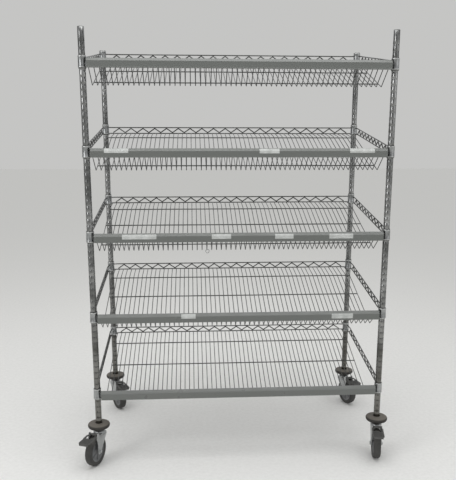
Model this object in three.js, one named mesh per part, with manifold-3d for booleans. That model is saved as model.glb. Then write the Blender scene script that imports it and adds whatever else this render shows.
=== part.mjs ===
// Mobile rack with five slanted wire shelves: four posts on swivel casters carry
// tilted shelf frames whose wire floors run down to a front trough.
// Units are millimetres, +Z is up, the front of the rack faces -Y.
import * as THREE from 'three';
import { mergeVertices } from 'three/addons/utils/BufferGeometryUtils.js';
import Module from 'manifold-3d';

const wasm = await Module();
wasm.setup();

// ---- Posts -------------------------------------------------------------------
const POST_SPACING_X = 1193.6;
const POST_SPACING_Y = 584.2;
const POST_RADIUS = 12.7;
const POST_WALL = 1.3;
const POST_LENGTH = 1600.2;
const POST_BOTTOM = 149.5;
const POST_TOP = POST_BOTTOM + POST_LENGTH;
const SIDES = { left: -1, right: 1 };
const ENDS = { front: -1, rear: 1 };

// ---- Shelves -----------------------------------------------------------------
const SHELF_COUNT = 5;
const SHELF_PITCH = 330.2;
const SHELF_RISE = 101.6;
const TOP_COLLAR_FRONT = 1648.0;
const COLLAR_RADIUS = 16.8;
const COLLAR_BORE = 13.6;
const COLLAR_SIDES = 12;
const COLLAR_HEIGHT = 42.7;
const RAIL_SIZE = 5;
const RAIL_DROP_TOP = 12;
const RAIL_DROP_BOTTOM = 39;
const TRUSS_OFFSET = 12;
const SNAKE_WIDTH = 9;
const SNAKE_PANELS_LONG = 10;
const SNAKE_PANELS_FRONT = 4;
const SNAKE_PANELS_SIDE = 5;

// ---- Wire floor: heights are measured from the front collar's top, depths from
// the front posts. Each bar stands for three neighbouring wires. -----------------
const WIRE_SIZE = 3.4;
const BAR_WIDTH = 8;
const BAR_COUNT = 20;
const FLOOR_WIDTH = 1156;
const CROSS_WIRE = 6;
const LEDGE_TOP = { depth: -5.5, height: -15.5 };
const TROUGH = { depth: 105, height: -94 };
const FLOOR_BEND = { depth: 488, height: 48 };
const FLOOR_REAR = { depth: 590.5, height: 63 };

// ---- Label strip ---------------------------------------------------------------
const STRIP_WALL = 1.2;
const STRIP_DEPTH = 27;
const STRIP_TOP_DROP = 8;
const STRIP_LIP = 10.5;
const STRIP_HOOK = 5;
const STRIP_LENGTH = POST_SPACING_X - 2 * COLLAR_RADIUS - 2;

// ---- Casters -------------------------------------------------------------------
const WHEEL_RADIUS = 63.5;
const TREAD_WIDTH = 32;
const TYRE_INNER = 46;
const HUB_WIDTH = 30;
const AXLE_RADIUS = 5;
const TRAIL = 36;
const FORK_GAP = 19;
const FORK_PLATE = 3;
const FORK_TOP = 133.5;
const PEDAL_PIVOT = { trail: 44, height: 140 };
const PEDAL_SLOPE = 3;
const BUMPER_RADIUS = 46;
const BUMPER_BOTTOM = 153.7;
const BUMPER_TOP = 176;
// Direction in which each wheel trails, in degrees anticlockwise from -Y.
const SWIVEL = { front_left: -22, front_right: -11, rear_left: 29, rear_right: 19 };

const CLEARANCE = 0.3;

function material(color, roughness, metalness) {
  return new THREE.MeshStandardMaterial({ color, roughness, metalness });
}

const CHROME = () => material(0x8d908e, 0.25, 1.0);
const ZINC = () => material(0xa9aba8, 0.4, 0.9);
const GREY_PLASTIC = () => material(0x6f746e, 0.5, 0.0);
const DARK_PLASTIC = () => material(0x1c1d1e, 0.5, 0.0);
const TREAD_RUBBER = () => material(0x4a4b49, 0.7, 0.0);
const BUMPER_RUBBER = () => material(0x77746c, 0.7, 0.0);

function weld(geometry) {
  const bare = geometry.clone();
  bare.deleteAttribute('normal');
  bare.deleteAttribute('uv');
  return mergeVertices(bare, 1e-3);
}

function toSolid(geometry) {
  const welded = weld(geometry);
  return new wasm.Manifold(new wasm.Mesh({
    numProp: 3,
    vertProperties: new Float32Array(welded.attributes.position.array),
    triVerts: new Uint32Array(welded.index.array),
  }));
}

function fromSolid(solid) {
  const mesh = solid.getMesh();
  const geometry = new THREE.BufferGeometry();
  geometry.setAttribute('position', new THREE.BufferAttribute(mesh.vertProperties, 3));
  geometry.setIndex(new THREE.BufferAttribute(mesh.triVerts, 1));
  geometry.computeVertexNormals();
  return geometry;
}

function joined(geometries) {
  return geometries.map(toSolid).reduce((sum, next) => sum.add(next));
}

function cut(solid, geometries) {
  return geometries.map(toSolid).reduce((left, next) => left.subtract(next), solid);
}

function piece(name, geometry, makeMaterial) {
  const mesh = new THREE.Mesh(geometry, makeMaterial());
  mesh.name = name;
  return mesh;
}

// A body of revolution about Z from [radius, height] pairs. The outline either starts
// and ends on the axis or is closed here.
function turned(outline, segments) {
  const points = outline.map(([radius, height]) => new THREE.Vector2(radius, height));
  if (outline[0][0] > 0) {
    points.push(points[0].clone());
  }
  return new THREE.LatheGeometry(points, segments).rotateX(Math.PI / 2);
}

function polygon(points) {
  return new THREE.Shape(points.map(([u, v]) => new THREE.Vector2(u, v)));
}

function extruded(shape, depth) {
  return new THREE.ExtrudeGeometry(shape, { depth, bevelEnabled: false, steps: 1, curveSegments: 6 });
}

// Stands a shape drawn as [depth, height] upright in the YZ plane, centred on x.
function standingAlongY(shape, width, x) {
  return extruded(shape, width)
    .applyMatrix4(new THREE.Matrix4().makeBasis(
      new THREE.Vector3(0, 1, 0), new THREE.Vector3(0, 0, 1), new THREE.Vector3(1, 0, 0)))
    .translate(x - width / 2, 0, 0);
}

// Stands a shape drawn as [x, height] upright in the XZ plane, centred on y.
function standingAlongX(shape, width, y) {
  return extruded(shape, width)
    .applyMatrix4(new THREE.Matrix4().makeBasis(
      new THREE.Vector3(1, 0, 0), new THREE.Vector3(0, 0, 1), new THREE.Vector3(0, -1, 0)))
    .translate(0, y + width / 2, 0);
}

// ---- Posts and caps --------------------------------------------------------------
function post() {
  const inner = POST_RADIUS - POST_WALL;
  return turned([
    [inner, POST_BOTTOM], [POST_RADIUS, POST_BOTTOM], [POST_RADIUS, POST_TOP], [inner, POST_TOP],
  ], 16);
}

function postCap() {
  const plug = POST_RADIUS - POST_WALL - CLEARANCE;
  const seat = POST_TOP + CLEARANCE;
  return turned([
    [0, seat - 14], [plug, seat - 14], [plug, seat], [POST_RADIUS, seat],
    [POST_RADIUS, seat + 1], [POST_RADIUS - 2.5, seat + 2.6], [0, seat + 3.4],
  ], 12);
}

// ---- Shelf frame -----------------------------------------------------------------
// A flat truss: two rails with triangular openings between the snake wire's legs. It
// runs from 0 to length and climbs by rise on the way; stand() puts its shapes upright.
function truss(length, rise, panels, stand) {
  const climb = ([s, t]) => [s, t + (rise * s) / length];
  const top = -RAIL_DROP_TOP + RAIL_SIZE / 2;
  const bottom = -RAIL_DROP_BOTTOM - RAIL_SIZE / 2;
  const high = top - RAIL_SIZE;
  const low = bottom + RAIL_SIZE;
  const half = length / panels / 2;
  const plate = polygon([[0, bottom], [length, bottom], [length, top], [0, top]].map(climb));
  const openings = [];
  for (let i = 0; i < 2 * panels - 1; i += 1) {
    const [base, apex] = i % 2 === 0 ? [low, high] : [high, low];
    const start = i * half + SNAKE_WIDTH;
    const end = (i + 2) * half - SNAKE_WIDTH;
    const corners = [[start, base], [end, base], [(start + end) / 2, apex]];
    openings.push(polygon(corners.map(climb)));
  }
  return cut(toSolid(stand(plate, RAIL_SIZE)), openings.map((shape) => stand(shape, 2 * RAIL_SIZE)));
}

function collar(x, y, top) {
  return new THREE.CylinderGeometry(COLLAR_RADIUS, COLLAR_RADIUS, COLLAR_HEIGHT, COLLAR_SIDES)
    .rotateX(Math.PI / 2)
    .translate(x, y, top - COLLAR_HEIGHT / 2);
}

function bore(x, y, top) {
  return new THREE.CylinderGeometry(COLLAR_BORE, COLLAR_BORE, COLLAR_HEIGHT + 2, COLLAR_SIDES)
    .rotateX(Math.PI / 2)
    .translate(x, y, top - COLLAR_HEIGHT / 2);
}

function shelfFrame() {
  const x = POST_SPACING_X / 2;
  const depth = POST_SPACING_Y;
  const corners = [[-x, 0, 0], [x, 0, 0], [-x, depth, SHELF_RISE], [x, depth, SHELF_RISE]];
  const frontTruss = truss(POST_SPACING_X, 0, SNAKE_PANELS_FRONT,
    (shape, width) => standingAlongX(shape, width, -TRUSS_OFFSET).translate(-x, 0, 0));
  const rearTruss = truss(POST_SPACING_X, 0, SNAKE_PANELS_LONG,
    (shape, width) => standingAlongX(shape, width, depth + TRUSS_OFFSET).translate(-x, 0, SHELF_RISE));
  const sideTrusses = [-1, 1].map((side) => truss(depth, SHELF_RISE, SNAKE_PANELS_SIDE,
    (shape, width) => standingAlongY(shape, width, side * (x + TRUSS_OFFSET))));
  const trusses = [frontTruss, rearTruss, ...sideTrusses].reduce((sum, next) => sum.add(next));
  const collars = joined(corners.map((corner) => collar(...corner)));
  return fromSolid(cut(collars.add(trusses), corners.map((corner) => bore(...corner))));
}

// ---- Wire floor and ledge ----------------------------------------------------------
// A flat grille between two [depth, height] places: bars along it, a cross bar at each end.
function grille(from, to) {
  const length = Math.hypot(to.depth - from.depth, to.height - from.height);
  const slope = Math.atan2(to.height - from.height, to.depth - from.depth);
  const laid = (geometry, thickness) => geometry
    .translate(0, length / 2, -thickness / 2)
    .rotateX(slope)
    .translate(0, from.depth, from.height);
  const pitch = (FLOOR_WIDTH - BAR_WIDTH) / (BAR_COUNT - 1);
  const slots = [];
  for (let i = 0; i < BAR_COUNT - 1; i += 1) {
    const middle = (-FLOOR_WIDTH + BAR_WIDTH + pitch) / 2 + i * pitch;
    const slot = new THREE.BoxGeometry(pitch - BAR_WIDTH, length - 2 * CROSS_WIRE, 3 * WIRE_SIZE);
    slots.push(laid(slot.translate(middle, 0, 0), WIRE_SIZE));
  }
  const sheet = laid(new THREE.BoxGeometry(FLOOR_WIDTH, length, WIRE_SIZE), WIRE_SIZE);
  return cut(toSolid(sheet), slots);
}

function shelfFloor() {
  const bendOverlap = 0.5 * WIRE_SIZE;
  const bend = { depth: FLOOR_BEND.depth - bendOverlap, height: FLOOR_BEND.height };
  return fromSolid(grille(TROUGH, FLOOR_BEND).add(grille(bend, FLOOR_REAR)));
}

function shelfLedge() {
  const foot = { depth: TROUGH.depth - CLEARANCE - 2, height: TROUGH.height + CLEARANCE };
  return fromSolid(grille(LEDGE_TOP, foot));
}

// ---- Label strip ---------------------------------------------------------------------
// It hooks over the front truss's top rail, leans forward and down as a sloped lip, and
// its upright face turns back under the bottom rail.
function labelStrip() {
  const face = -STRIP_DEPTH;
  const top = -STRIP_TOP_DROP;
  const foot = -RAIL_DROP_BOTTOM - RAIL_SIZE / 2 - CLEARANCE;
  const railBack = -TRUSS_OFFSET + RAIL_SIZE / 2 + CLEARANCE;
  const lipEnd = face + STRIP_LIP;
  const wall = STRIP_WALL;
  const shape = polygon([
    [face, foot - wall], [railBack, foot - wall], [railBack, foot], [face + wall, foot],
    [face + wall, top - STRIP_LIP - wall / 2], [lipEnd + wall / 2, top - wall],
    [railBack, top - wall], [railBack, top - STRIP_HOOK], [railBack + wall, top - STRIP_HOOK],
    [railBack + wall, top], [lipEnd, top], [face, top - STRIP_LIP],
  ]);
  return standingAlongY(shape, STRIP_LENGTH, 0);
}

function shelf(number) {
  const group = new THREE.Group();
  group.add(
    piece(`shelf_${number}_frame`, shelfFrame(), CHROME),
    piece(`shelf_${number}_floor`, shelfFloor(), CHROME),
    piece(`shelf_${number}_ledge`, shelfLedge(), CHROME),
    piece(`shelf_${number}_label_strip`, labelStrip(), GREY_PLASTIC),
  );
  group.position.set(0, -POST_SPACING_Y / 2, TOP_COLLAR_FRONT - (number - 1) * SHELF_PITCH);
  return group;
}

// ---- Casters: drawn with the swivel axis on Z and the wheel trailing towards -Y ---------
function casterStem() {
  const stem = POST_RADIUS - POST_WALL - CLEARANCE;
  const cup = FORK_TOP + 0.5;
  return turned([
    [0, cup], [24, cup], [25, cup + 3], [22, cup + 10], [14, cup + 13],
    [14, POST_BOTTOM - CLEARANCE], [stem, POST_BOTTOM - CLEARANCE], [stem, POST_BOTTOM + 75],
    [0, POST_BOTTOM + 75],
  ], 12);
}

function bumper() {
  const inner = POST_RADIUS + CLEARANCE;
  return turned([
    [inner, BUMPER_BOTTOM], [BUMPER_RADIUS - 5, BUMPER_BOTTOM], [BUMPER_RADIUS, BUMPER_BOTTOM + 7],
    [BUMPER_RADIUS, BUMPER_TOP - 8], [BUMPER_RADIUS - 8, BUMPER_TOP - 1], [inner, BUMPER_TOP],
  ], 16);
}

// A rod along X through the [trail, height] place.
function crossRod(radius, length, place, segments) {
  return new THREE.CylinderGeometry(radius, radius, length, segments)
    .rotateZ(Math.PI / 2)
    .translate(0, -place.trail, place.height);
}

function fork() {
  const width = 2 * (FORK_GAP + FORK_PLATE);
  const leg = new THREE.Shape();
  leg.moveTo(-22, FORK_TOP);
  leg.lineTo(34, FORK_TOP);
  leg.lineTo(38, 147);
  leg.lineTo(50, 147);
  leg.lineTo(56, 124);
  leg.lineTo(TRAIL + 13, 96);
  leg.lineTo(TRAIL + 13, WHEEL_RADIUS);
  leg.absarc(TRAIL, WHEEL_RADIUS, 13, 0, -Math.PI, true);
  leg.lineTo(-22, 121);
  const legs = [-1, 1].map((side) => standingAlongY(leg, FORK_PLATE, side * (width / 2 - FORK_PLATE / 2)));
  const crown = new THREE.BoxGeometry(width, 52, FORK_PLATE).translate(0, 4, FORK_TOP - FORK_PLATE / 2);
  for (const geometry of legs) {
    geometry.rotateZ(Math.PI);
  }
  const axleHole = crossRod(AXLE_RADIUS + CLEARANCE, width + 2, { trail: TRAIL, height: WHEEL_RADIUS }, 12);
  const pivotHole = crossRod(3 + CLEARANCE, width + 2, PEDAL_PIVOT, 6);
  return fromSolid(cut(joined([...legs, crown]), [axleHole, pivotHole]));
}

function axle() {
  const place = { trail: TRAIL, height: WHEEL_RADIUS };
  const outer = FORK_GAP + FORK_PLATE + CLEARANCE;
  const heads = [-1, 1].map((side) => crossRod(9, 6, place, 6).translate(side * (outer + 3), 0, 0));
  return fromSolid(joined([crossRod(AXLE_RADIUS, 2 * outer + 2, place, 12), ...heads]));
}

// A wheel part is turned about Z, then laid on the axle with a flat of its rim down.
function onAxle(geometry, segments) {
  return geometry
    .rotateZ(Math.PI / segments)
    .rotateY(Math.PI / 2)
    .translate(0, -TRAIL, WHEEL_RADIUS);
}

function tyre() {
  const half = TREAD_WIDTH / 2;
  const segments = 24;
  return onAxle(turned([
    [TYRE_INNER, -half + 3], [WHEEL_RADIUS - 6, -half], [WHEEL_RADIUS, -half + 6],
    [WHEEL_RADIUS, half - 6], [WHEEL_RADIUS - 6, half], [TYRE_INNER, half - 3],
  ], segments), segments);
}

function hub() {
  const half = HUB_WIDTH / 2;
  const bore = AXLE_RADIUS + CLEARANCE;
  const rim = TYRE_INNER - CLEARANCE;
  const segments = 16;
  return onAxle(turned([
    [bore, -half - 3], [14, -half - 3], [17, -8], [rim, -8],
    [rim, 8], [17, 8], [14, half + 3], [bore, half + 3],
  ], segments), segments);
}

// A level plate with a lip at its end, held by two arms that leave a window by the pivot.
function brakePedal() {
  const plate = polygon([
    [-16, -3], [16, -3], [16, 12], [24, 14], [24, 80], [20, 86], [-20, 86], [-24, 80], [-24, 14], [-16, 12],
  ]);
  plate.holes.push(polygon([[-17, 18], [-17, 38], [17, 38], [17, 18]]));
  const slab = extruded(plate, 5).rotateZ(Math.PI);
  const lip = new THREE.BoxGeometry(40, 4, 12).translate(0, -84, -3.5);
  const treadle = [slab, lip].map((geometry) => geometry
    .rotateX(THREE.MathUtils.degToRad(PEDAL_SLOPE))
    .translate(0, -PEDAL_PIVOT.trail, PEDAL_PIVOT.height - 2.5));
  const pin = crossRod(3, 2 * (FORK_GAP + FORK_PLATE), PEDAL_PIVOT, 6);
  const barrel = crossRod(4.5, 2 * FORK_GAP - 2, PEDAL_PIVOT, 8);
  return fromSolid(joined([...treadle, barrel, pin]));
}

function caster(corner, x, y) {
  const fixed = new THREE.Group();
  fixed.add(
    piece(`${corner}_caster_stem`, casterStem(), ZINC),
    piece(`${corner}_bumper`, bumper(), BUMPER_RUBBER),
  );
  const swivel = new THREE.Group();
  swivel.add(
    piece(`${corner}_caster_fork`, fork(), ZINC),
    piece(`${corner}_caster_axle`, axle(), ZINC),
    piece(`${corner}_caster_tyre`, tyre(), TREAD_RUBBER),
    piece(`${corner}_caster_hub`, hub(), GREY_PLASTIC),
    piece(`${corner}_brake_pedal`, brakePedal(), DARK_PLASTIC),
  );
  swivel.rotation.z = THREE.MathUtils.degToRad(SWIVEL[corner]);
  const group = new THREE.Group();
  group.add(fixed, swivel);
  group.position.set(x, y, 0);
  return group;
}

// ---- Assembly ------------------------------------------------------------------------
function cornerParts() {
  const group = new THREE.Group();
  for (const [end, endSign] of Object.entries(ENDS)) {
    for (const [side, sideSign] of Object.entries(SIDES)) {
      const corner = `${end}_${side}`;
      const x = (sideSign * POST_SPACING_X) / 2;
      const y = (endSign * POST_SPACING_Y) / 2;
      const upright = piece(`${corner}_post`, post(), CHROME);
      const cap = piece(`${corner}_post_cap`, postCap(), DARK_PLASTIC);
      upright.position.set(x, y, 0);
      cap.position.set(x, y, 0);
      group.add(upright, cap, caster(corner, x, y));
    }
  }
  return group;
}

function rack() {
  const group = new THREE.Group();
  for (let number = 1; number <= SHELF_COUNT; number += 1) {
    group.add(shelf(number));
  }
  group.add(cornerParts());
  return group;
}

// The origin is on the floor, under the middle of the rack's bounding box.
const assembly = rack();
const box = new THREE.Box3().setFromObject(assembly, true);
const middle = box.getCenter(new THREE.Vector3());
assembly.position.set(-middle.x, -middle.y, -box.min.z);

export default assembly;
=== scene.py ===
"""Looks of the sheet pan rack: chrome posts, five slanted wire shelves, label strips and casters.

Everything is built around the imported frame, in metres, +Z up, with the front of the rack at -Y.
"""
import math

import bmesh
import bpy
from mathutils import Matrix, Vector


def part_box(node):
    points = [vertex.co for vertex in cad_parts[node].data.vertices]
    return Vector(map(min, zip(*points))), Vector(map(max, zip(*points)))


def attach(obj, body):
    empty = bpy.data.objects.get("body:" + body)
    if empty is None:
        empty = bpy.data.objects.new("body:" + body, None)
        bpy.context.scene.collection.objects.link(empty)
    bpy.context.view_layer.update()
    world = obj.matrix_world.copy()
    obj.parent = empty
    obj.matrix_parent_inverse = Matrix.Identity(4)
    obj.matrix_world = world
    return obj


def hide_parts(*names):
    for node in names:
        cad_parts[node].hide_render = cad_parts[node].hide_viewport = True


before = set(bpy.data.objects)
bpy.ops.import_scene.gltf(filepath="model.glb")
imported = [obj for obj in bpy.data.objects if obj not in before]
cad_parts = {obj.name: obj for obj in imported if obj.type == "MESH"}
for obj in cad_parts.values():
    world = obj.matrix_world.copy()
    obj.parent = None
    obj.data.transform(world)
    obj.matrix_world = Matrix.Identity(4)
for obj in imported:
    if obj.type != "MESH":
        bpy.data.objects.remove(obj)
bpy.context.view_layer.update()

MM = 0.001
SHELVES = range(1, 6)
CORNERS = ("front_left", "front_right", "rear_left", "rear_right")
ROOT = "rack"

# ---- Driving dimensions, in millimetres ------------------------------------------------
SHELF_RISE = 101.6
POST_RADIUS = 12.7
RING_PITCH = 25.4
RING_WIDTH = 1.6
RING_DEPTH = 0.22

COLLAR_HEIGHT = 42.7
COLLAR_TOP_RADIUS = 15.3
COLLAR_FOOT_RADIUS = 16.3
SLEEVE_RADIUS = 14.6

RAIL_RADIUS = 2.5
SNAKE_RADIUS = 2.6
RAIL_DROP_TOP = 12.0
RAIL_DROP_BOTTOM = 39.0
RAIL_OFFSET = 12.0
RAIL_END_OFFSET = 8.5
RAIL_END = 12.5
RAIL_JOG = 34.0
SNAKE_INSET = 3.9
SNAKE_BENDS_LONG = 20
SNAKE_BENDS_SIDE = 10

WIRE_RADIUS = 1.7
CROSS_WIRE_RADIUS = 2.4
WIRE_COUNT = 58
WIRE_SPAN = 1156.0
WIRE_START = (-9.0, -12.5)
TROUGH = (105.0, -95.5)
FLOOR_BEND = (488.0, 46.3)
WIRE_END = (594.0, 62.4)
CROSS_WIRE_SHARES = (0.144, 0.585, 0.985)

STRIP_FACE = -26.4
STRIP_TOP = -8.0
STRIP_LIP = 10.5
STRIP_FOOT = -43.0
STRIP_BACK = -8.2
STRIP_WALL = 1.2
LABEL_HEIGHT = 21.0

WHEEL_SEGMENTS = 72
SPOKES = 6
FORK_GAP = 19.0
FORK_PLATE = 3.0
FORK_TOP = 133.5
CUP_GAP = 0.5
PEDAL_PIVOT = (44.0, 140.0)
PEDAL_SLOPE = 3.0
PEDAL_RIBS = 6
PEDAL_RIB_PITCH = 6.9

# ---- Camera: metres and degrees --------------------------------------------------------
CAMERA_LENS = 46.21
CAMERA_SHIFT = 0.0833
CAMERA_LEFT = 0.1919
CAMERA_AWAY = 2.4549
CAMERA_BELOW_COLLAR = 0.0118
CAMERA_DOWN = 11.978
CAMERA_RIGHT_TURN = 3.328


# ---- Places taken from the frame -------------------------------------------------------
def middle_of(node):
    low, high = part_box(node)
    return (low + high) / 2


def post_place(corner):
    """Centre of a post, with the heights of its two ends."""
    low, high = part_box(f"{corner}_post")
    return (low + high) / 2, low.z, high.z


LEFT = middle_of("front_left_post").x
RIGHT = middle_of("front_right_post").x
FRONT = middle_of("front_left_post").y
REAR = middle_of("rear_left_post").y
MIDDLE = (LEFT + RIGHT) / 2


def collar_top(number):
    """Height of a shelf's front collars."""
    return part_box(f"shelf_{number}_frame")[1].z - SHELF_RISE * MM


def at(number, x, depth, height):
    """A point on a shelf: x from the rack's middle, depth from the front posts, height from the
    front collars' tops."""
    return Vector((MIDDLE + x * MM, FRONT + depth * MM, collar_top(number) + height * MM))


# ---- Mesh building ---------------------------------------------------------------------
class Shape:
    """Closed shells gathered into one piece."""

    def __init__(self):
        self.points = []
        self.faces = []

    def add(self, shell, matrix=None):
        points, faces = shell
        start = len(self.points)
        self.points += [matrix @ point for point in points] if matrix else points
        self.faces += [tuple(start + index for index in face) for face in faces]
        return self

    def piece(self, name, material, body, slot, replaces=(), bevel=None, smooth=40):
        mesh = bpy.data.meshes.new(name)
        mesh.from_pydata(self.points, [], self.faces)
        tidy = bmesh.new()
        tidy.from_mesh(mesh)
        bmesh.ops.recalc_face_normals(tidy, faces=tidy.faces)
        tidy.to_mesh(mesh)
        tidy.free()
        mesh.shade_smooth()
        mesh.set_sharp_from_angle(angle=math.radians(smooth))
        mesh.materials.append(material)
        made = bpy.data.objects.new(name, mesh)
        bpy.context.scene.collection.objects.link(made)
        if bevel:
            round_edges(made, bevel)
        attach(made, body)
        if replaces:
            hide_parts(*replaces)
        return made


def round_edges(made, width):
    modifier = made.modifiers.new("rounded_edges", "BEVEL")
    modifier.width = width * MM
    modifier.segments = 2
    modifier.limit_method = "ANGLE"
    modifier.angle_limit = math.radians(40)
    modifier.harden_normals = True


def rounded(path, radius, steps=4, closed=False):
    """The path with each corner replaced by a curve that starts radius / tan(half angle) away."""
    corners = [Vector(point) for point in path]
    if closed:
        triples = list(zip(corners[-1:] + corners[:-1], corners, corners[1:] + corners[:1]))
    else:
        triples = list(zip(corners, corners[1:], corners[2:]))
    curve = [] if closed else [corners[0]]
    for before, corner, after in triples:
        back, ahead = before - corner, after - corner
        half = back.angle(ahead) / 2
        reach = min(radius / math.tan(half), 0.48 * back.length, 0.48 * ahead.length)
        start = corner + back.normalized() * reach
        end = corner + ahead.normalized() * reach
        for step in range(steps + 1):
            t = step / steps
            curve.append(start * (1 - t) ** 2 + corner * (2 * t * (1 - t)) + end * t**2)
    return curve if closed else curve + [corners[-1]]


def ring_faces(rings, size, closed):
    """Quads between rings of points that lie one after another."""
    faces = []
    for ring in range(rings if closed else rings - 1):
        here, there = ring * size, (ring + 1) % rings * size
        for k in range(size):
            nxt = (k + 1) % size
            faces.append((here + k, here + nxt, there + nxt, there + k))
    return faces


def tube(path, radius, sides=8):
    """A round wire along a path, closed at both ends."""
    points = [Vector(point) for point in path]
    ends = len(points) - 1
    tangents = [
        (points[min(i + 1, ends)] - points[max(i - 1, 0)]).normalized() for i in range(ends + 1)
    ]
    normal = tangents[0].orthogonal().normalized()
    made = []
    for point, tangent in zip(points, tangents):
        normal = (normal - tangent * normal.dot(tangent)).normalized()
        side = tangent.cross(normal)
        for k in range(sides):
            turn = 2 * math.pi * k / sides
            made.append(point + (normal * math.cos(turn) + side * math.sin(turn)) * radius)
    faces = ring_faces(len(points), sides, False)
    faces.append(tuple(reversed(range(sides))))
    faces.append(tuple(range(ends * sides, (ends + 1) * sides)))
    return made, faces


def turned(outline, segments=48):
    """A ring of revolution about Z from a closed outline of [radius, height] pairs, in millimetres."""
    made = []
    for k in range(segments):
        turn = 2 * math.pi * k / segments
        cos, sin = math.cos(turn), math.sin(turn)
        made += [Vector((r * cos, r * sin, z)) * MM for r, z in outline]
    return made, ring_faces(segments, len(outline), True)


def capped(outline, segments=48):
    """A solid of revolution about Z; the outline runs from the bottom to the top, off the axis."""
    made = []
    for r, z in outline:
        for k in range(segments):
            turn = 2 * math.pi * k / segments
            made.append(Vector((r * math.cos(turn), r * math.sin(turn), z)) * MM)
    faces = ring_faces(len(outline), segments, False)
    faces.append(tuple(reversed(range(segments))))
    faces.append(tuple(range((len(outline) - 1) * segments, len(outline) * segments)))
    return made, faces


def plate(outline, low, high):
    """A flat plate: its outline in the YZ plane as [y, z] pairs, between two places along X."""
    size = len(outline)
    made = [Vector((x, y, z)) * MM for x in (low, high) for y, z in outline]
    faces = ring_faces(2, size, False)
    faces.append(tuple(reversed(range(size))))
    faces.append(tuple(range(size, 2 * size)))
    return made, faces


def flat(outline, low, high):
    """A flat plate: its outline in the XY plane as [x, y] pairs, between two heights."""
    size = len(outline)
    made = [Vector((x, y, z)) * MM for z in (low, high) for x, y in outline]
    faces = ring_faces(2, size, False)
    faces.append(tuple(reversed(range(size))))
    faces.append(tuple(range(size, 2 * size)))
    return made, faces


def outline_2d(corners, radius, steps=4):
    """A closed outline with rounded corners, as pairs."""
    curve = rounded([(u, v, 0) for u, v in corners], radius, steps, closed=True)
    return [(point.x, point.y) for point in curve]


def hexagon(radius, low, high):
    """A hexagonal nut or bolt head along X, with its corners chamfered."""
    chamfer = 0.9
    made, size = [], 6
    stations = (
        (low, radius - chamfer), (low + chamfer, radius),
        (high - chamfer, radius), (high, radius - chamfer),
    )
    for x, r in stations:
        for k in range(size):
            turn = math.pi * k / 3
            made.append(Vector((x, r * math.cos(turn), r * math.sin(turn))) * MM)
    faces = ring_faces(len(stations), size, False)
    faces.append(tuple(reversed(range(size))))
    faces.append(tuple(range(3 * size, 4 * size)))
    return made, faces


LAY_ON_X = Matrix.Rotation(math.pi / 2, 4, "Y")


def shifted(x, y, z):
    return Matrix.Translation(Vector((x, y, z)) * MM)


# ---- Materials -------------------------------------------------------------------------
class Nodes:
    """A short way to write a material's node tree."""

    def __init__(self, name):
        self.material = bpy.data.materials.new(name)
        self.material.use_nodes = True
        self.tree = self.material.node_tree
        self.shader = self.tree.nodes["Principled BSDF"]
        self.place = self.node("ShaderNodeTexCoord").outputs["Object"]

    def node(self, kind, **settings):
        made = self.tree.nodes.new(kind)
        for key, value in settings.items():
            setattr(made, key, value)
        return made

    def link(self, source, target):
        self.tree.links.new(source, target)

    def scaled(self, scale):
        mapping = self.node("ShaderNodeMapping")
        self.link(self.place, mapping.inputs["Vector"])
        mapping.inputs["Scale"].default_value = scale
        return mapping.outputs["Vector"]

    def noise(self, scale, stretch=(1, 1, 1), detail=4, rough=0.55, distortion=0.0):
        made = self.node("ShaderNodeTexNoise")
        self.link(self.scaled(stretch), made.inputs["Vector"])
        made.inputs["Scale"].default_value = scale
        made.inputs["Detail"].default_value = detail
        made.inputs["Roughness"].default_value = rough
        made.inputs["Distortion"].default_value = distortion
        return made.outputs["Fac"]

    def ramp(self, source, stops):
        """Colours or greys along a ramp: stops are (place, colour)."""
        made = self.node("ShaderNodeValToRGB")
        elements = made.color_ramp.elements
        while len(elements) < len(stops):
            elements.new(0.5)
        for element, (place, colour) in zip(elements, stops):
            element.position = place
            element.color = (*colour, 1) if isinstance(colour, tuple) else (colour, colour, colour, 1)
        self.link(source, made.inputs["Fac"])
        return made.outputs["Color"]

    def ranged(self, source, low, high, start=0.3, end=0.7):
        made = self.node("ShaderNodeMapRange")
        self.link(source, made.inputs["Value"])
        for key, value in (("From Min", start), ("From Max", end), ("To Min", low), ("To Max", high)):
            made.inputs[key].default_value = value
        return made.outputs["Result"]

    def mixed(self, factor, first, second, mode="MIX"):
        made = self.node("ShaderNodeMix", data_type="RGBA", blend_type=mode)
        for key, source in ((0, factor), (6, first), (7, second)):
            if isinstance(source, bpy.types.NodeSocket):
                self.link(source, made.inputs[key])
            elif isinstance(source, tuple):
                made.inputs[key].default_value = (*source, 1)
            else:
                made.inputs[key].default_value = source
        return made.outputs[2]

    def bump(self, source, depth, strength=1.0, under=None):
        made = self.node("ShaderNodeBump")
        made.inputs["Strength"].default_value = strength
        made.inputs["Distance"].default_value = depth * MM
        self.link(source, made.inputs["Height"])
        if under:
            self.link(under, made.inputs["Normal"])
        return made.outputs["Normal"]

    def edges(self, low=0.51, high=0.56):
        """White along worn outer edges."""
        geometry = self.node("ShaderNodeNewGeometry")
        return self.ranged(geometry.outputs["Pointiness"], 0.0, 1.0, low, high)

    def done(self, colour, roughness, normal, metallic=0.0, specular=0.5):
        self.link(colour, self.shader.inputs["Base Color"])
        self.link(roughness, self.shader.inputs["Roughness"])
        self.link(normal, self.shader.inputs["Normal"])
        self.shader.inputs["Metallic"].default_value = metallic
        self.shader.inputs["Specular IOR Level"].default_value = specular
        return self.material


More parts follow.
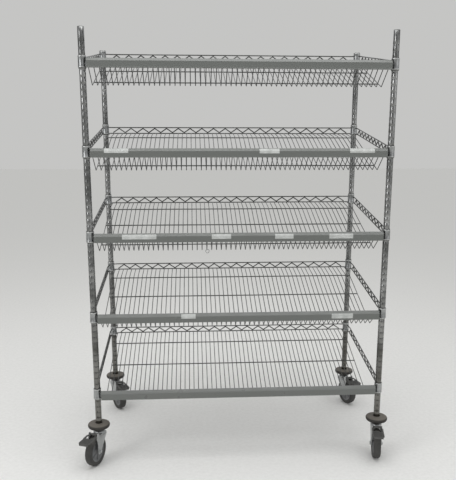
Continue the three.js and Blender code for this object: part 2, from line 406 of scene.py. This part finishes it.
def chrome(name, bright, dull, grime, streak=(1, 1, 0.12), roughness=(0.12, 0.34), darker_below_height=None):
    """Bright plating with long faint streaks, dull patches, specks of dried dirt and a brownish tone that
    darkens towards the foot.
    """
    nodes = Nodes(name)
    patches = nodes.noise(9, detail=5)
    streaks = nodes.noise(160, stretch=streak, detail=3)
    specks = nodes.noise(420, detail=2, rough=0.7)
    plated = nodes.mixed(nodes.ranged(patches, 0, 1), bright, dull)
    streaked = nodes.mixed(nodes.ranged(streaks, 0, 0.55, 0.45, 0.75), plated, dull)
    colour = nodes.mixed(nodes.ranged(specks, 0, 0.8, 0.66, 0.74), streaked, grime)
    # Darker brownish tone towards the bottom of the piece, fading out by the given height.
    if darker_below_height:
        height = nodes.node("ShaderNodeSeparateXYZ")
        nodes.link(nodes.place, height.inputs["Vector"])
        low = nodes.ranged(height.outputs["Z"], 0.85, 0.0, 0.15, darker_below_height)
        colour = nodes.mixed(low, colour, (0.115, 0.108, 0.092))
    shine = nodes.ranged(patches, roughness[0], roughness[1])
    normal = nodes.bump(streaks, 0.05, 0.25, nodes.bump(specks, 0.08, 0.3))
    return nodes.done(colour, shine, normal, metallic=1.0)


def zinc():
    """Zinc-plated pressed steel with a mottled spangle and rubbed edges."""
    nodes = Nodes("zinc_plated_steel")
    spangle = nodes.noise(60, detail=2, rough=0.4, distortion=0.8)
    scuffs = nodes.noise(300, stretch=(1, 0.15, 1), detail=2)
    dirt = nodes.noise(28, detail=6, rough=0.7)
    plated = nodes.ramp(spangle, [(0.3, (0.20, 0.205, 0.205)), (0.7, (0.34, 0.345, 0.345))])
    scuffed = nodes.mixed(nodes.ranged(scuffs, 0, 0.5, 0.55, 0.7), plated, (0.44, 0.45, 0.45))
    dirty = nodes.mixed(nodes.ranged(dirt, 0, 0.75, 0.56, 0.72), scuffed, (0.11, 0.10, 0.085))
    colour = nodes.mixed(nodes.edges(), dirty, (0.52, 0.53, 0.53))
    normal = nodes.bump(scuffs, 0.08, 0.3, nodes.bump(dirt, 0.15, 0.3))
    return nodes.done(colour, nodes.ranged(spangle, 0.28, 0.5), normal, metallic=0.9)


def cast_zinc():
    """Corner collars: a satin cast skin, polished by hands, with dark casting pits."""
    nodes = Nodes("cast_zinc_collar")
    patches = nodes.noise(45, detail=5)
    pits = nodes.noise(700, detail=2)
    skin = nodes.ramp(patches, [(0.3, (0.26, 0.27, 0.27)), (0.7, (0.46, 0.47, 0.47))])
    pitted = nodes.mixed(nodes.ranged(pits, 0, 0.8, 0.62, 0.7), skin, (0.09, 0.09, 0.085))
    colour = nodes.mixed(nodes.edges(), pitted, (0.62, 0.63, 0.62))
    normal = nodes.bump(pits, 0.12, 0.4)
    return nodes.done(colour, nodes.ranged(patches, 0.22, 0.42), normal, metallic=1.0)


def plastic(name, base, faded, roughness, grain, depth, specular=0.5, wear=None):
    """Moulded plastic: a fine spark-eroded grain, faded patches and paler rubbed edges."""
    nodes = Nodes(name)
    patches = nodes.noise(14, detail=4)
    fine = nodes.noise(grain, detail=2)
    scuffs = nodes.noise(230, stretch=(0.2, 1, 1), detail=3)
    colour = nodes.mixed(nodes.ranged(patches, 0, 1), base, faded)
    colour = nodes.mixed(nodes.ranged(scuffs, 0, 0.4, 0.58, 0.72), colour, faded)
    if wear:
        colour = nodes.mixed(nodes.edges(), colour, wear)
    normal = nodes.bump(fine, depth, 0.35, nodes.bump(scuffs, depth, 0.2))
    return nodes.done(colour, nodes.ranged(patches, *roughness), normal, specular=specular)


def rubber(name, base, dust, painted_top_light, dusty, roughness, grain):
    """Rubber with patches of dust and small nicks, and a painted highlight on its upward-facing surfaces that
    leaves its sides and underside in painted shade.
    """
    nodes = Nodes(name)
    patches = nodes.noise(22, detail=6, rough=0.65)
    fine = nodes.noise(grain, detail=3)
    nicks = nodes.noise(110, detail=2, distortion=1.2)
    coloured = nodes.mixed(nodes.ranged(patches, 0.0, dusty), base, dust)
    # Painted light: surfaces that face up are mixed towards a lighter colour as a painted highlight, so the
    # sides and underside stay darker as painted shade.
    facing = nodes.node("ShaderNodeSeparateXYZ")
    nodes.link(nodes.node("ShaderNodeNewGeometry").outputs["Normal"], facing.inputs["Vector"])
    coloured = nodes.mixed(nodes.ranged(facing.outputs["Z"], 0.0, 0.9, 0.45, 0.95), coloured, painted_top_light)
    colour = nodes.mixed(nodes.ranged(nicks, 0, 0.7, 0.68, 0.76), coloured, tuple(0.4 * c for c in base))
    normal = nodes.bump(fine, 0.12, 0.4, nodes.bump(nicks, 0.3, 0.25))
    return nodes.done(colour, nodes.ranged(patches, *roughness), normal, specular=0.35)


def paper():
    """Matt label stock: faint fibres, a little yellowed and finger-marked."""
    nodes = Nodes("label_paper")
    fibres = nodes.noise(900, stretch=(0.3, 1, 1), detail=3)
    marks = nodes.noise(40, detail=4)
    sheet = nodes.ramp(marks, [(0.35, (0.46, 0.475, 0.465)), (0.7, (0.62, 0.635, 0.625))])
    colour = nodes.mixed(nodes.ranged(fibres, 0, 0.25), sheet, (0.30, 0.31, 0.29))
    normal = nodes.bump(fibres, 0.03, 0.3)
    return nodes.done(colour, nodes.ranged(marks, 0.55, 0.75), normal, specular=0.3)


POST_CHROME = chrome("post_chrome_plate", (0.46, 0.465, 0.46), (0.095, 0.098, 0.095), (0.05, 0.047, 0.042),
                     darker_below_height=0.75)
WIRE_CHROME = chrome("wire_chrome_plate", (0.135, 0.138, 0.135), (0.068, 0.070, 0.067), (0.035, 0.033, 0.03),
                     streak=(1, 0.3, 1), roughness=(0.2, 0.42))
CAST = cast_zinc()
ZINC = zinc()
SLEEVE = plastic("sleeve_plastic", (0.030, 0.031, 0.031), (0.06, 0.06, 0.058), (0.4, 0.55), 900, 0.08)
STRIP = plastic("label_strip_plastic", (0.054, 0.061, 0.056), (0.072, 0.079, 0.073), (0.26, 0.42), 1100, 0.05,
                specular=0.6, wear=(0.14, 0.148, 0.14))
CAP = plastic("post_cap_plastic", (0.16, 0.165, 0.165), (0.24, 0.245, 0.24), (0.3, 0.5), 900, 0.08)
PEDAL = plastic("pedal_plastic", (0.011, 0.0115, 0.012), (0.028, 0.028, 0.027), (0.38, 0.6), 700, 0.15,
                wear=(0.08, 0.08, 0.077))
CORE = plastic("wheel_core_plastic", (0.115, 0.12, 0.128), (0.19, 0.19, 0.19), (0.4, 0.6), 800, 0.1)
# In each rubber the fourth colour is the painted highlight on upward-facing surfaces; the darker base shows
# beneath it as painted shade.
BUMPER = rubber("bumper_rubber", (0.028, 0.026, 0.024), (0.050, 0.046, 0.041), (0.150, 0.137, 0.118), 0.9,
                (0.5, 0.8), 500)
TYRE = rubber("tyre_rubber", (0.034, 0.034, 0.033), (0.085, 0.083, 0.078), (0.11, 0.108, 0.10), 0.7,
              (0.5, 0.75), 600)
PAPER = paper()


# ---- Posts -----------------------------------------------------------------------------
def post_outline(length):
    """Outside of a post from foot to top, with a shallow groove ring at every pitch."""
    outline = [(POST_RADIUS - 0.5, 0.0), (POST_RADIUS, 0.5)]
    for ring in range(1, int(length / RING_PITCH)):
        z = ring * RING_PITCH
        half = RING_WIDTH / 2
        outline += [
            (POST_RADIUS, z - half), (POST_RADIUS - RING_DEPTH, z - half / 2),
            (POST_RADIUS - RING_DEPTH, z + half / 2), (POST_RADIUS, z + half),
        ]
    return outline + [(POST_RADIUS, length - 0.5), (POST_RADIUS - 0.5, length)]


def make_post(corner):
    centre, foot, top = post_place(corner)
    length = (top - foot) / MM
    bore = POST_RADIUS - 1.3
    outline = post_outline(length) + [(bore, length), (bore, 0.0)]
    Shape().add(turned(outline, 40), Matrix.Translation((centre.x, centre.y, foot))).piece(
        f"{corner}_post_tube", POST_CHROME, ROOT, "post_chrome", [f"{corner}_post"], smooth=50)
    plug = bore - 0.4
    dome = [
        (plug, -14.0), (plug, 0.3), (12.5, 0.3), (12.6, 1.0),
        (12.0, 1.9), (9.6, 2.6), (6.0, 3.1), (1.5, 3.3),
    ]
    Shape().add(capped(dome, 32), Matrix.Translation((centre.x, centre.y, top))).piece(
        f"{corner}_post_plug", CAP, ROOT, "cap_plastic", [f"{corner}_post_cap"])


# ---- Shelf frame -----------------------------------------------------------------------
def rail(start, end, outward, height):
    """A rail between two collars, which leaves each near its middle and jogs outward to clear it."""
    along = (end - start).normalized()
    lift = Vector((0, 0, height * MM))
    places = ((RAIL_END, RAIL_END_OFFSET), (RAIL_JOG * 0.55, RAIL_END_OFFSET), (RAIL_JOG, RAIL_OFFSET))
    leaving = [start + (along * run + outward * out) * MM + lift for run, out in places]
    arriving = [end + (outward * out - along * run) * MM + lift for run, out in reversed(places)]
    return tube(rounded(leaving + arriving, 30 * MM), RAIL_RADIUS * MM, 10)


def snake(start, end, outward, bends):
    """The zigzag wire between the two rails, with rounded turns welded to each."""
    high = -RAIL_DROP_TOP - SNAKE_INSET
    low = -RAIL_DROP_BOTTOM + SNAKE_INSET
    inset = 1 - 2 * RAIL_JOG * MM / (end - start).length
    path = []
    for bend in range(2 * bends + 1):
        share = 0.5 + (bend / (2 * bends) - 0.5) * inset
        height = high if bend % 2 else low
        path.append(start.lerp(end, share) + outward * RAIL_OFFSET * MM + Vector((0, 0, height * MM)))
    return tube(rounded(path, 5 * MM, 3), SNAKE_RADIUS * MM, 8)


def truss(shape, start, end, outward, bends):
    for drop in (RAIL_DROP_TOP, RAIL_DROP_BOTTOM):
        shape.add(rail(start, end, outward, -drop))
    shape.add(snake(start, end, outward, bends))


def collar_places(number):
    """The tops of a shelf's four collars, on the posts' axes."""
    top = collar_top(number)
    rise = SHELF_RISE * MM
    return {
        "front_left": Vector((LEFT, FRONT, top)), "front_right": Vector((RIGHT, FRONT, top)),
        "rear_left": Vector((LEFT, REAR, top + rise)), "rear_right": Vector((RIGHT, REAR, top + rise)),
    }


def make_trusses(number):
    places = collar_places(number)
    shape = Shape()
    sides = (
        ("front_left", "front_right", (0, -1, 0), SNAKE_BENDS_LONG),
        ("rear_left", "rear_right", (0, 1, 0), SNAKE_BENDS_LONG),
        ("front_left", "rear_left", (-1, 0, 0), SNAKE_BENDS_SIDE),
        ("front_right", "rear_right", (1, 0, 0), SNAKE_BENDS_SIDE),
    )
    for start, end, outward, bends in sides:
        truss(shape, places[start], places[end], Vector(outward), bends)
    shape.piece(f"shelf_{number}_trusses", WIRE_CHROME, ROOT, "wire_chrome", [f"shelf_{number}_frame"])


def make_collars(number):
    """Tapered cast collars, each with a bead at its rims and a split plastic sleeve wedged inside."""
    low, bore = -COLLAR_HEIGHT, SLEEVE_RADIUS + 0.1
    top, foot = COLLAR_TOP_RADIUS, COLLAR_FOOT_RADIUS
    outline = [
        (bore, low), (foot, low), (foot + 0.4, low + 1), (foot + 0.4, low + 3.5), (foot - 0.3, low + 5),
        (top + 0.1, -5), (top + 0.7, -3.8), (top + 0.7, -1.2), (top + 0.2, 0), (bore, 0),
    ]
    sleeve = [
        (POST_RADIUS + 0.1, low - 3.2), (SLEEVE_RADIUS - 0.3, low - 3.2), (SLEEVE_RADIUS, low - 2.6),
        (SLEEVE_RADIUS, 1.6), (SLEEVE_RADIUS - 0.5, 2.2), (POST_RADIUS + 0.1, 2.2),
    ]
    collars, sleeves = Shape(), Shape()
    for place in collar_places(number).values():
        collars.add(turned(outline, 40), Matrix.Translation(place))
        sleeves.add(turned(sleeve, 32), Matrix.Translation(place))
    collars.piece(f"shelf_{number}_collars", CAST, ROOT, "zinc_steel")
    sleeves.piece(f"shelf_{number}_sleeves", SLEEVE, ROOT, "cap_plastic")


# ---- Wire floor ------------------------------------------------------------------------
def floor_path():
    """Middle line of a floor wire as (depth, height): down from the front rail, round the trough
    and up to the rear rail."""
    corners = [(0, *WIRE_START), (0, *TROUGH), (0, *FLOOR_BEND), (0, *WIRE_END)]
    return rounded(corners, 7.0, 6)


def make_floor(number):
    wire = [Vector(point) for point in floor_path()]
    shell = tube([point * MM for point in wire], WIRE_RADIUS * MM, 8)
    floor = Shape()
    for k in range(WIRE_COUNT):
        x = -WIRE_SPAN / 2 + k * WIRE_SPAN / (WIRE_COUNT - 1)
        floor.add(shell, Matrix.Translation(at(number, x, 0, 0)))
    floor.piece(f"shelf_{number}_floor_wires", WIRE_CHROME, ROOT, "wire_chrome",
                [f"shelf_{number}_floor", f"shelf_{number}_ledge"])
    cross = Shape()
    under = -WIRE_RADIUS - CROSS_WIRE_RADIUS + 0.4
    for share in CROSS_WIRE_SHARES:
        depth = TROUGH[0] + share * (FLOOR_BEND[0] - TROUGH[0])
        height = TROUGH[1] + share * (FLOOR_BEND[1] - TROUGH[1]) + under
        half = WIRE_SPAN / 2 + 1
        ends = [at(number, x, depth, height) for x in (-half, 0, half)]
        cross.add(tube(ends, CROSS_WIRE_RADIUS * MM, 10))
    cross.piece(f"shelf_{number}_cross_wires", WIRE_CHROME, ROOT, "wire_chrome")


# ---- Label strips ----------------------------------------------------------------------
def strip_outline():
    """Section of the strip as (depth, height): a hook over the rail, a sloped lip, an upright face
    and a turned-back foot."""
    face, top, foot, back = STRIP_FACE, STRIP_TOP, STRIP_FOOT, STRIP_BACK
    wall = STRIP_WALL
    lip = top - STRIP_LIP
    corners = [
        (face, foot + 2.2), (face - 0.6, foot + 1.2), (face, foot),
        (back - 1, foot), (back - 1, foot + wall),
        (face + wall, foot + wall), (face + wall, lip - 0.5), (face + STRIP_LIP + 0.5, top - wall),
        (back - wall, top - wall), (back - wall, top - 5), (back, top - 5), (back, top),
        (face + STRIP_LIP, top), (face - 0.3, lip), (face, lip - 1.2),
    ]
    return outline_2d(corners, 0.55, 3)


def make_strip(number):
    low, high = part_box(f"shelf_{number}_label_strip")
    half = (high.x - low.x) / 2 / MM - 0.4
    shell = plate(strip_outline(), -half, half)
    Shape().add(shell, Matrix.Translation(at(number, 0, 0, 0))).piece(
        f"shelf_{number}_strip", STRIP, ROOT, "strip_plastic", [f"shelf_{number}_label_strip"], smooth=30)


# Labels on each shelf: where they start and end along the strip, and how far down it they sit.
LABELS = {
    2: ((-526, -433, 1.0), (72, 150, 3.0), (428, 526, 1.0)),
    3: ((-469, -334, 5.0), (-115, -38, 6.0), (138, 212, 7.0), (357, 454, 8.0)),
    4: ((-241, -183, 2.0), (378, 467, 11.0)),
}


def label_section(drop):
    """Line of a label down the strip as (depth, height), starting drop along the sloped lip."""
    lip = math.hypot(STRIP_LIP, STRIP_LIP)
    slope = Vector((-1, -1)) / math.sqrt(2)
    start = Vector((STRIP_FACE + STRIP_LIP, STRIP_TOP))
    corner = start + slope * lip
    down = Vector((0, -1))
    if drop >= lip:
        first = corner + down * (drop - lip)
        return [first, first + down * LABEL_HEIGHT]
    first = start + slope * drop
    return [first, corner, corner + down * (LABEL_HEIGHT - (lip - drop))]


def label(number, start, end, drop):
    """A thin sheet that follows the strip and lifts a little at its ends."""
    thick = 0.35
    line = rounded([(0, point.x, point.y) for point in label_section(drop)], 1.2, 3)
    across = 12
    made, faces = [], []
    for step in range(across + 1):
        share = step / across
        x = start + (end - start) * share
        lift = 0.1 + 0.35 * abs(2 * share - 1) ** 6
        for out in (lift, lift + thick):
            offset = Vector((0, -out, 0.35 * out))
            made += [at(number, x, 0, 0) + (point + offset) * MM for point in line]
    size = len(line)
    for step in range(across):
        here, there = step * 2 * size, (step + 1) * 2 * size
        loop = list(range(size)) + [size + k for k in reversed(range(size))]
        for k, first in enumerate(loop):
            second = loop[(k + 1) % len(loop)]
            faces.append((here + first, here + second, there + second, there + first))
    for k in range(size - 1):
        for base in (0, across * 2 * size):
            faces.append((base + k, base + k + 1, base + size + k + 1, base + size + k))
    return made, faces


def make_labels(number):
    shape = Shape()
    for start, end, drop in LABELS[number]:
        shape.add(label(number, start, end, drop))
    shape.piece(f"shelf_{number}_paper_labels", PAPER, ROOT, "strip_plastic", smooth=60)


# ---- Casters ---------------------------------------------------------------------------
def caster_frame(corner):
    """Turns and moves caster coordinates, where the wheel trails towards -Y, to their place on the rack."""
    post = middle_of(f"{corner}_post")
    axle = middle_of(f"{corner}_caster_axle")
    trail = Vector((axle.x - post.x, axle.y - post.y, 0))
    turn = math.atan2(trail.x, -trail.y)
    floor_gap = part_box(f"{corner}_caster_stem")[0].z - (FORK_TOP + CUP_GAP) * MM
    place = Matrix.Translation((post.x, post.y, floor_gap)) @ Matrix.Rotation(turn, 4, "Z")
    return place, trail.length / MM, (axle.z - floor_gap) / MM


def make_stem(corner, place):
    """Swivel head and its neck, up to the stem inside the post."""
    cup = FORK_TOP + CUP_GAP + 0.1
    outline = [
        (22.5, cup), (23.6, cup + 0.8), (24.4, cup + 3.0), (23.2, cup + 5.6),
        (21.0, cup + 8.4), (17.0, cup + 11.0), (14.2, cup + 12.4), (13.6, cup + 13.6),
        (13.6, cup + 14.6), (10.8, cup + 14.8), (10.8, cup + 88.0),
    ]
    Shape().add(capped(outline, 40), place).piece(
        f"{corner}_swivel_head", ZINC, ROOT, "zinc_steel", [f"{corner}_caster_stem"])


def make_bumper(corner, place):
    outline = [
        (13.1, 154.2), (28.0, 154.0), (37.5, 154.1), (41.6, 155.4), (44.6, 158.4),
        (45.9, 162.6), (45.8, 167.0), (44.4, 170.8), (41.0, 173.0), (35.0, 174.2),
        (27.0, 174.7), (20.5, 175.0), (16.0, 175.6), (13.1, 175.7),
    ]
    made = Shape().add(turned(outline, 56), place).piece(
        f"{corner}_bumper_ring", BUMPER, ROOT, "bumper_rubber", [f"{corner}_bumper"])
    smoother = made.modifiers.new("soft_section", "SUBSURF")
    smoother.levels = smoother.render_levels = 1


def fork_leg(trail, axle_height):
    """Outline of one fork leg as (y, height): an ear for the pedal's pin, a rounded end at the axle."""
    back, tip = 22, 13
    shoulder = FORK_TOP - 1.5
    ear = [(-34, shoulder), (-38, 146.8), (-50, 146.8), (-56, 124)]
    corners = [(back, shoulder), *ear, (-trail - tip, 96)]
    outline = [(point.x, point.y) for point in rounded([(u, v, 0) for u, v in corners], 5, 4)]
    for step in range(13):
        turn = math.pi + math.pi * step / 12
        outline.append((-trail + tip * math.cos(turn), axle_height + tip * math.sin(turn)))
    return outline + [(back, 121)]


def crown_section():
    """Section of the crown as (x, height): a sheet bent down at both sides."""
    outer = FORK_GAP + FORK_PLATE
    inner, inner_top, hem = FORK_GAP, FORK_TOP - FORK_PLATE, 122
    outside = [(-outer, 0, hem), (-outer, 0, FORK_TOP), (outer, 0, FORK_TOP), (outer, 0, hem)]
    inside = [(inner, 0, hem), (inner, 0, inner_top), (-inner, 0, inner_top), (-inner, 0, hem)]
    return [(point.x, point.z) for point in rounded(outside, 5, 6) + rounded(inside, 2.5, 6)]


def make_fork(corner, place, trail, axle_height):
    body = f"{corner}_swivel"
    leg = fork_leg(trail, axle_height)
    shape = Shape()
    for side in (-1, 1):
        low, high = sorted((side * FORK_GAP, side * (FORK_GAP + FORK_PLATE)))
        shape.add(plate(leg, low, high), place)
    section = crown_section()
    size = len(section)
    points = [Vector((x, y, z)) * MM for y in (22, -34) for x, z in section]
    faces = ring_faces(2, size, False)
    half = size // 2
    for base in (0, size):
        for k in range(half - 1):
            faces.append((base + k, base + k + 1, base + size - 2 - k, base + size - 1 - k))
    shape.add((points, faces), place)
    kingpin = [(7.6, 128.2), (9.2, 128.8), (9.4, 129.6), (9.4, 131.5)]
    shape.add(capped(kingpin, 32), place)
    shape.piece(f"{corner}_fork", ZINC, body, "zinc_steel", [f"{corner}_caster_fork"], bevel=0.5)


def make_axle(corner, place, trail, axle_height):
    """Axle bolt with a washer and a hexagon at each end."""
    outer = FORK_GAP + FORK_PLATE
    on_axle = place @ shifted(0, -trail, axle_height)
    shape = Shape()
    shape.add(capped([(4.9, -outer), (4.9, outer)], 24), on_axle @ LAY_ON_X)
    for side in (-1, 1):
        washer = [(8.7, side * (outer + 0.1)), (8.7, side * (outer + 1.4))]
        shape.add(capped(sorted(washer, key=lambda pair: pair[1]), 28), on_axle @ LAY_ON_X)
        low, high = sorted((side * (outer + 1.4), side * (outer + 5.2)))
        shape.add(hexagon(7.8, low, high), on_axle)
    stub = [(4.2, outer + 5.0), (4.2, outer + 6.0), (3.2, outer + 6.2)]
    shape.add(capped(stub, 20), on_axle @ LAY_ON_X)
    shape.piece(f"{corner}_axle_bolt", ZINC, f"{corner}_swivel", "zinc_steel", [f"{corner}_caster_axle"])


def make_wheel(corner, place, trail, axle_height):
    """Tyre with a crowned tread and a moulded sidewall ring, on a ribbed core."""
    body = f"{corner}_wheel"
    on_axle = place @ shifted(0, -trail, axle_height) @ LAY_ON_X
    radius = (place @ Vector((0, 0, axle_height * MM))).z / MM - 0.05
    side = [
        (45.8, 12.2), (47.6, 13.6), (50.4, 14.2), (51.0, 13.4), (52.2, 13.4), (52.8, 14.6), (56.4, 15.6),
        (59.2, 15.2), (radius - 1.6, 12.4), (radius - 0.4, 8.0), (radius, 3.0),
    ]
    outline = [(r, -x) for r, x in side] + [(r, x) for r, x in reversed(side)]
    Shape().add(turned(outline, WHEEL_SEGMENTS), on_axle).piece(
        f"{corner}_tyre_tread", TYRE, body, "tyre", [f"{corner}_caster_tyre"], smooth=50)
    half = [
        (5.7, 17.6), (10.4, 17.6), (11.6, 16.6), (12.8, 9.6),
        (15.6, 7.0), (37.5, 6.2), (41.0, 9.8), (45.7, 11.4),
    ]
    core = [(r, -x) for r, x in half] + [(r, x) for r, x in reversed(half)]
    shape = Shape().add(turned(core, 56), on_axle)
    rib = [(12.0, -1.6), (40.0, -1.2), (40.0, 1.2), (12.0, 1.6)]
    for spoke in range(SPOKES):
        turn = Matrix.Rotation(2 * math.pi * spoke / SPOKES, 4, "Z")
        for low, high in ((-9.8, -5.6), (5.6, 9.8)):
            shape.add(flat(rib, low, high), on_axle @ turn)
    shape.piece(f"{corner}_wheel_core", CORE, body, "wheel_core", [f"{corner}_caster_hub"], smooth=35)


def make_pedal(corner, place):
    """Foot pedal: a ribbed tread plate on two arms that reach back to the pivot between the fork legs."""
    pivot, height = PEDAL_PIVOT
    on_pivot = place @ shifted(0, -pivot, height) @ Matrix.Rotation(math.radians(PEDAL_SLOPE), 4, "X")
    shape = Shape()
    for side in (-1, 1):
        arm = [(16, 3), (16, -12), (23.8, -14.8), (23.8, -45), (17.5, -45), (17.5, -19), (11, -16), (11, 3)]
        outline = outline_2d([(side * x, y) for x, y in arm], 1.5, 3)
        shape.add(flat(outline, -2.4, 2.2), on_pivot)
    edge = [(23.6, -38.5), (23.6, -79.5), (19.6, -85.4)]
    tread = outline_2d(edge + [(-x, y) for x, y in reversed(edge)], 2, 4)
    shape.add(flat(tread, -2.4, 0.9), on_pivot)
    lip = [(-85.4, -9.2), (-82.4, -9.2), (-82.0, 0), (-85.2, 0)]
    shape.add(plate(lip, -19.2, 19.2), on_pivot)
    for rib in range(PEDAL_RIBS):
        y = -43.5 - PEDAL_RIB_PITCH * rib
        ridge = outline_2d([(20.5, y + 1.5), (20.5, y - 1.5), (-20.5, y - 1.5), (-20.5, y + 1.5)], 1.2, 3)
        shape.add(flat(ridge, 0.7, 2.4), on_pivot)
    shape.add(capped([(4.4, -17.8), (4.4, 17.8)], 24), on_pivot @ LAY_ON_X)
    shape.add(capped([(2.9, -21.8), (2.9, 21.8)], 16), on_pivot @ LAY_ON_X)
    shape.piece(f"{corner}_pedal_tread", PEDAL, f"{corner}_pedal", "pedal_plastic",
                [f"{corner}_brake_pedal"], bevel=0.5)


def make_caster(corner):
    place, trail, axle_height = caster_frame(corner)
    make_stem(corner, place)
    make_bumper(corner, place)
    make_fork(corner, place, trail, axle_height)
    make_axle(corner, place, trail, axle_height)
    make_wheel(corner, place, trail, axle_height)
    make_pedal(corner, place)


# ---- Small ring left hanging in one trough ---------------------------------------------
def make_tag_ring():
    number, wire = 3, 22
    x = -WIRE_SPAN / 2 + wire * WIRE_SPAN / (WIRE_COUNT - 1)
    reach, thick = 8.0, 1.3
    centre = at(number, x + 2.0, TROUGH[0], TROUGH[1] + WIRE_RADIUS + thick + 0.2 - reach)
    tilt = math.radians(24)
    turns = [2 * math.pi * k / 10 for k in range(10)]
    outline = [(reach + thick * math.cos(turn), thick * math.sin(turn)) for turn in turns]
    facing = Matrix.Translation(centre) @ Matrix.Rotation(tilt, 4, "Z") @ Matrix.Rotation(math.pi / 2, 4, "X")
    Shape().add(turned(outline, 32), facing).piece("shelf_3_tag_ring", ZINC, ROOT, "zinc_steel")


# ---- Stage -----------------------------------------------------------------------------
def make_stage():
    nodes = Nodes("studio_floor")
    specks = nodes.noise(60, detail=5)
    colour = nodes.ramp(specks, [(0.3, (0.77, 0.77, 0.76)), (0.7, (0.83, 0.83, 0.82))])
    nodes.done(colour, nodes.ranged(specks, 0.75, 0.9), nodes.bump(specks, 0.2, 0.1), specular=0.0)
    reach = 40.0
    mesh = bpy.data.meshes.new("studio_floor")
    corners = [(-reach, -reach, 0), (reach, -reach, 0), (reach, reach, 0), (-reach, reach, 0)]
    mesh.from_pydata(corners, [], [(0, 1, 2, 3)])
    mesh.materials.append(nodes.material)
    floor = bpy.data.objects.new("studio_floor", mesh)
    bpy.context.scene.collection.objects.link(floor)


def make_world():
    """A pale studio to look at, and a room with brighter and darker sides for the metal to reflect."""
    world = bpy.data.worlds.new("studio")
    bpy.context.scene.world = world
    world.use_nodes = True
    tree = world.node_tree
    place = tree.nodes.new("ShaderNodeTexCoord").outputs["Generated"]
    around = tree.nodes.new("ShaderNodeTexGradient")
    around.gradient_type = "RADIAL"
    tree.links.new(place, around.inputs["Vector"])
    room = tree.nodes.new("ShaderNodeValToRGB")
    stops = (
        (0.0, 0.30), (0.08, 0.95), (0.16, 0.22), (0.25, 0.40), (0.34, 0.85),
        (0.43, 0.10), (0.55, 0.75), (0.70, 0.85), (0.88, 0.80), (0.96, 0.12),
    )
    elements = room.color_ramp.elements
    while len(elements) < len(stops):
        elements.new(0.5)
    for element, (where, grey) in zip(elements, stops):
        element.position = where
        element.color = (grey, grey, 1.01 * grey, 1)
    tree.links.new(around.outputs["Fac"], room.inputs["Fac"])
    rays = tree.nodes.new("ShaderNodeLightPath")
    pale = tree.nodes.new("ShaderNodeMix")
    pale.data_type = "RGBA"
    tree.links.new(rays.outputs["Is Camera Ray"], pale.inputs[0])
    pale.inputs[6].default_value = (0.74, 0.74, 0.73, 1)
    pale.inputs[7].default_value = (0.62, 0.62, 0.61, 1)
    mix = tree.nodes.new("ShaderNodeMix")
    mix.data_type = "RGBA"
    tree.links.new(rays.outputs["Is Glossy Ray"], mix.inputs[0])
    tree.links.new(pale.outputs[2], mix.inputs[6])
    tree.links.new(room.outputs["Color"], mix.inputs[7])
    background = tree.nodes["Background"]
    tree.links.new(mix.outputs[2], background.inputs["Color"])
    background.inputs["Strength"].default_value = 0.9


def make_light(name, place, target, size, power):
    data = bpy.data.lights.new(name, "AREA")
    data.shape = "RECTANGLE"
    data.size, data.size_y = size
    data.energy = power
    light = bpy.data.objects.new(name, data)
    light.location = place
    light.rotation_euler = (Vector(target) - Vector(place)).to_track_quat("-Z", "Y").to_euler()
    bpy.context.scene.collection.objects.link(light)


def make_camera():
    """Eye level with the second shelf, a little left of the middle, turned slightly right and down."""
    data = bpy.data.cameras.new("camera")
    data.lens = CAMERA_LENS
    data.shift_y = CAMERA_SHIFT
    camera = bpy.data.objects.new("camera", data)
    camera.location = (MIDDLE - CAMERA_LEFT, FRONT - CAMERA_AWAY, collar_top(2) - CAMERA_BELOW_COLLAR)
    camera.rotation_euler = (math.radians(90 - CAMERA_DOWN), 0, math.radians(-CAMERA_RIGHT_TURN))
    bpy.context.scene.collection.objects.link(camera)
    bpy.context.scene.camera = camera


make_camera()
make_stage()
make_world()
make_light("ceiling_softbox", (0.0, -0.6, 3.6), (0, 0, 0.9), (3.2, 2.0), 45)
make_light("left_softbox", (-2.6, -2.2, 2.2), (0, 0, 1.0), (1.2, 1.8), 20)
make_light("right_softbox", (2.8, -1.6, 1.8), (0, 0, 0.9), (0.8, 1.8), 6)
for corner in CORNERS:
    make_post(corner)
    make_caster(corner)
for number in SHELVES:
    make_trusses(number)
    make_collars(number)
    make_floor(number)
    make_strip(number)
for number in LABELS:
    make_labels(number)
make_tag_ring()

scene = bpy.context.scene
scene.view_settings.view_transform = "Standard"
